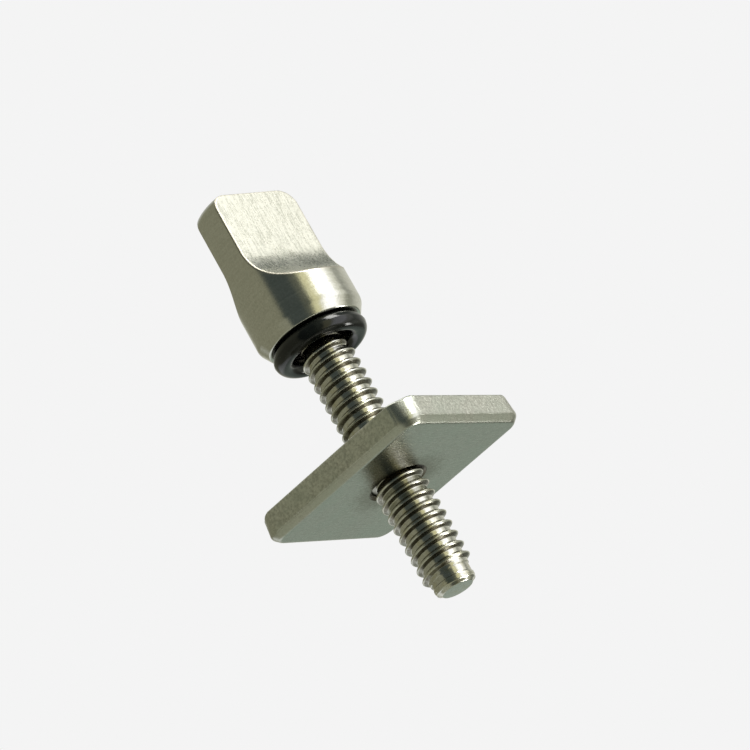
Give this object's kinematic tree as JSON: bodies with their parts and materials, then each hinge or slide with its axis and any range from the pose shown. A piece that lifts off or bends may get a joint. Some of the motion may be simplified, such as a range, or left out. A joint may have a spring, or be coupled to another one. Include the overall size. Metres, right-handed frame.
{
  "type": "thumb screw and plate nut",
  "caption": "Thumb-turned stainless clamp screw with a rubber sealing ring under its head, threaded through a rectangular plate nut.",
  "frame": {"origin": "centre of the plate nut's clamping face, on the screw axis", "axes": "+Z along the screw axis towards the head; X and Y square to the plate's sides"},
  "size_m": [0.0164, 0.019, 0.041],
  "materials": {
    "screw_steel": "satin",
    "ring_rubber": "satin",
    "plate_steel": "matte"
  },
  "bodies": {
    "nut": {"plate_nut": "plate_steel"},
    "ring": {"sealing_ring": "ring_rubber"},
    "screw": {"thumb_screw": "screw_steel"}
  },
  "joints": [
    {"name": "screw_travel", "type": "slide", "parent": "nut", "child": "ring", "axis": [0, 0, 1], "range_m": [-0.0111, 0.01058]},
    {"name": "screw_spin", "type": "hinge", "parent": "ring", "child": "screw", "pos_m": [0, 0, 0.0129], "axis": [0, 0, 1], "range_deg": [-3780, 3600]}
  ],
  "couplings": [
    {"joint": "screw_spin", "follows": "screw_travel", "rad_per_m": 5936.9}
  ]
}
